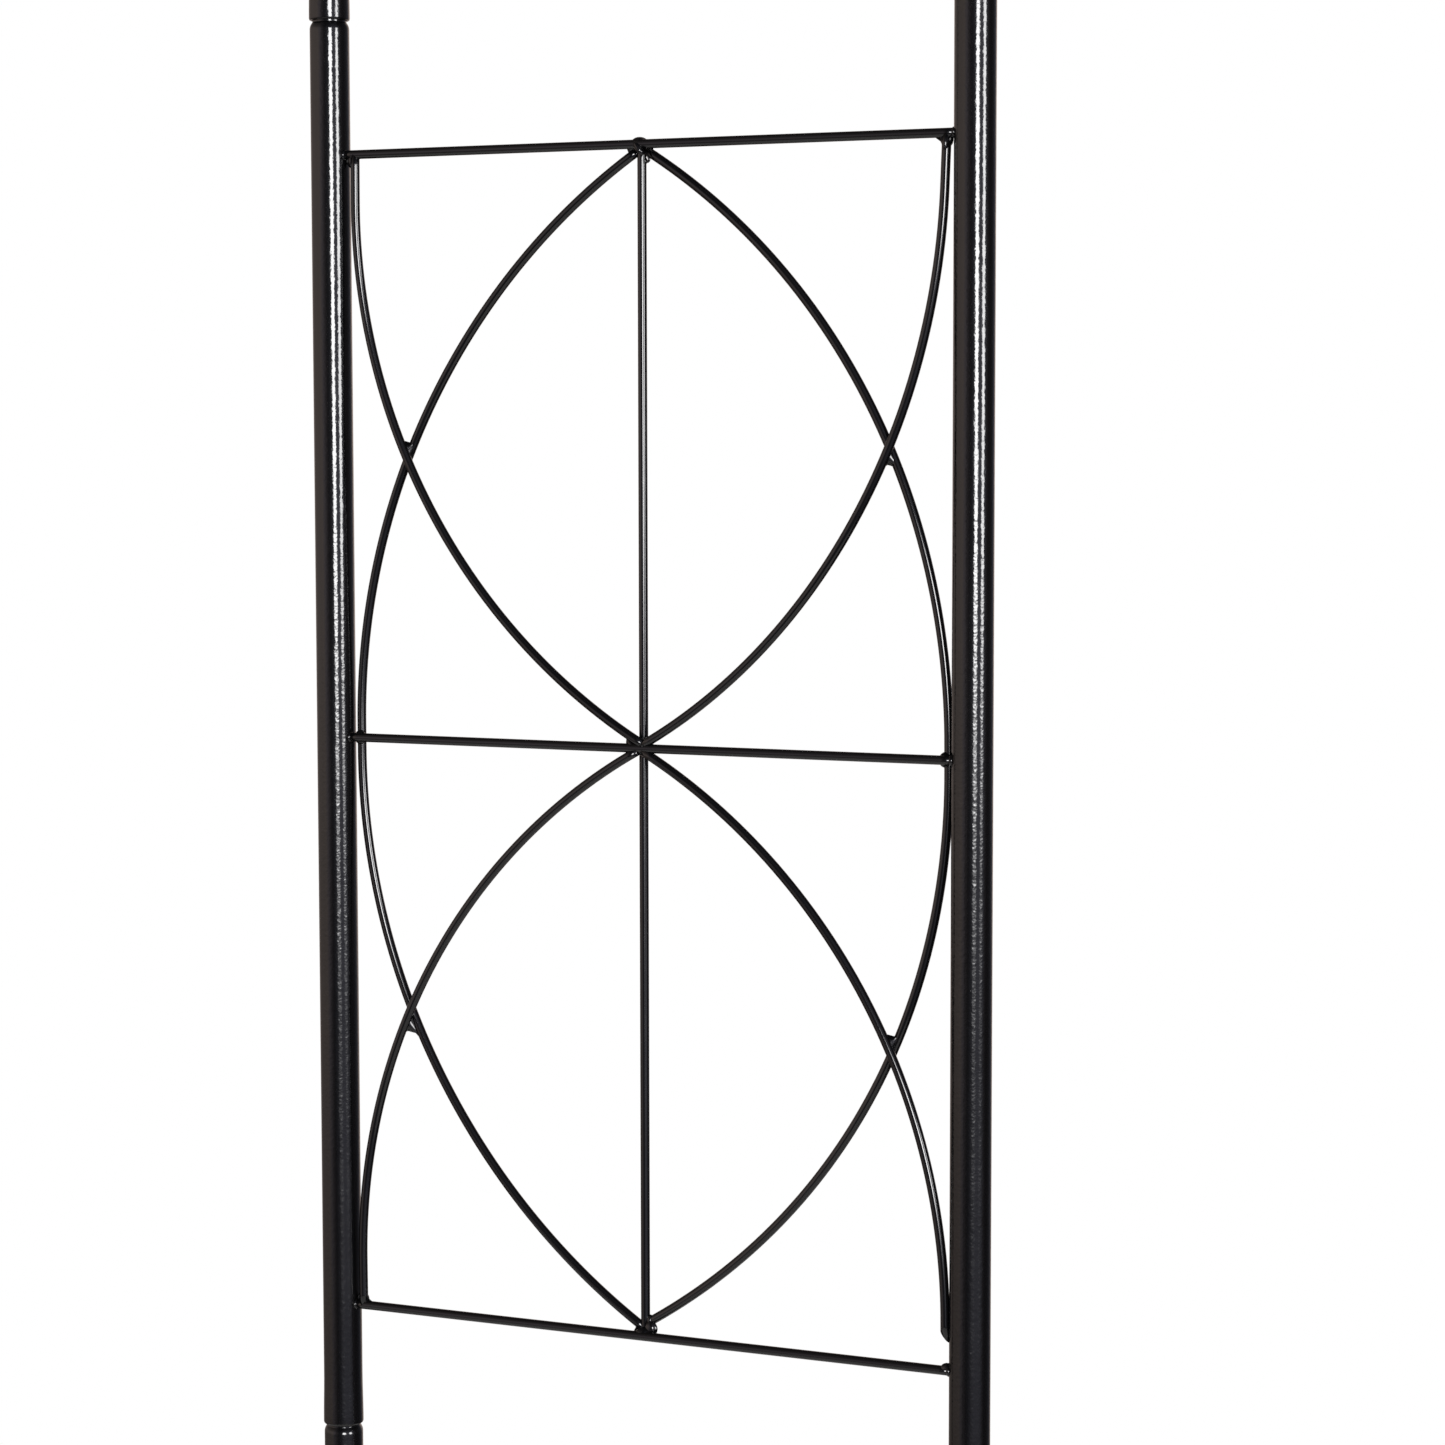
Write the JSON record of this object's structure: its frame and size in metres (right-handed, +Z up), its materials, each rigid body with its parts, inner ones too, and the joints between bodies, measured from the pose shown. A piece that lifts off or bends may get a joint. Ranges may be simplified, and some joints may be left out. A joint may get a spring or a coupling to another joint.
{
  "type": "garden arch trellis",
  "caption": "Powder-coated steel garden arch: tubular posts with bent-rod trellis sides and a curved top, in push-together sections.",
  "frame": {"origin": "on the ground, in the middle of the arch between its four feet", "axes": "+Z up, X across the walk-through between the two sides, Y through the arch from its front posts at -Y to its rear posts at +Y"},
  "size_m": [1.223, 0.405, 2.2043],
  "materials": {
    "tube_coat": "gloss black powder coat on round steel tube",
    "rod_coat": "gloss black powder coat on steel rod and welds",
    "foot_plastic": "moulded black plastic end plug"
  },
  "bodies": {
    "lower_sides": {"lower_left_front_post": "tube_coat", "lower_left_rear_post": "tube_coat", "lower_left_bottom_bar": "rod_coat", "lower_left_middle_bar": "rod_coat", "lower_left_top_bar": "rod_coat", "lower_left_centre_rod": "rod_coat", "lower_left_bows": "rod_coat", "lower_left_corner_arcs": "rod_coat", "lower_right_front_post": "tube_coat", "lower_right_rear_post": "tube_coat", "lower_right_bottom_bar": "rod_coat", "lower_right_middle_bar": "rod_coat", "lower_right_top_bar": "rod_coat", "lower_right_centre_rod": "rod_coat", "lower_right_bows": "rod_coat", "lower_right_corner_arcs": "rod_coat", "foot_plug_left_front": "foot_plastic", "foot_plug_left_rear": "foot_plastic", "foot_plug_right_front": "foot_plastic", "foot_plug_right_rear": "foot_plastic"},
    "upper_sides": {"upper_left_front_post": "tube_coat", "upper_left_rear_post": "tube_coat", "upper_left_bottom_bar": "rod_coat", "upper_left_middle_bar": "rod_coat", "upper_left_top_bar": "rod_coat", "upper_left_centre_rod": "rod_coat", "upper_left_bows": "rod_coat", "upper_left_corner_arcs": "rod_coat", "upper_right_front_post": "tube_coat", "upper_right_rear_post": "tube_coat", "upper_right_bottom_bar": "rod_coat", "upper_right_middle_bar": "rod_coat", "upper_right_top_bar": "rod_coat", "upper_right_centre_rod": "rod_coat", "upper_right_bows": "rod_coat", "upper_right_corner_arcs": "rod_coat"},
    "arch_top": {"arch_left_front_tube": "tube_coat", "arch_left_rear_tube": "tube_coat", "arch_left_bottom_bar": "rod_coat", "arch_left_middle_bar": "rod_coat", "arch_left_top_bar": "rod_coat", "arch_left_centre_rod": "rod_coat", "arch_left_bows": "rod_coat", "arch_left_corner_arcs": "rod_coat", "arch_right_front_tube": "tube_coat", "arch_right_rear_tube": "tube_coat", "arch_right_bottom_bar": "rod_coat", "arch_right_middle_bar": "rod_coat", "arch_right_top_bar": "rod_coat", "arch_right_centre_rod": "rod_coat", "arch_right_bows": "rod_coat", "arch_right_corner_arcs": "rod_coat"}
  },
  "joints": [
    {"name": "upper_sides_lift", "type": "slide", "parent": "lower_sides", "child": "upper_sides", "axis": [0, 0, 1], "range_m": [0, 0.06]},
    {"name": "arch_top_lift", "type": "slide", "parent": "upper_sides", "child": "arch_top", "axis": [0, 0, 1], "range_m": [0, 0.06]}
  ]
}
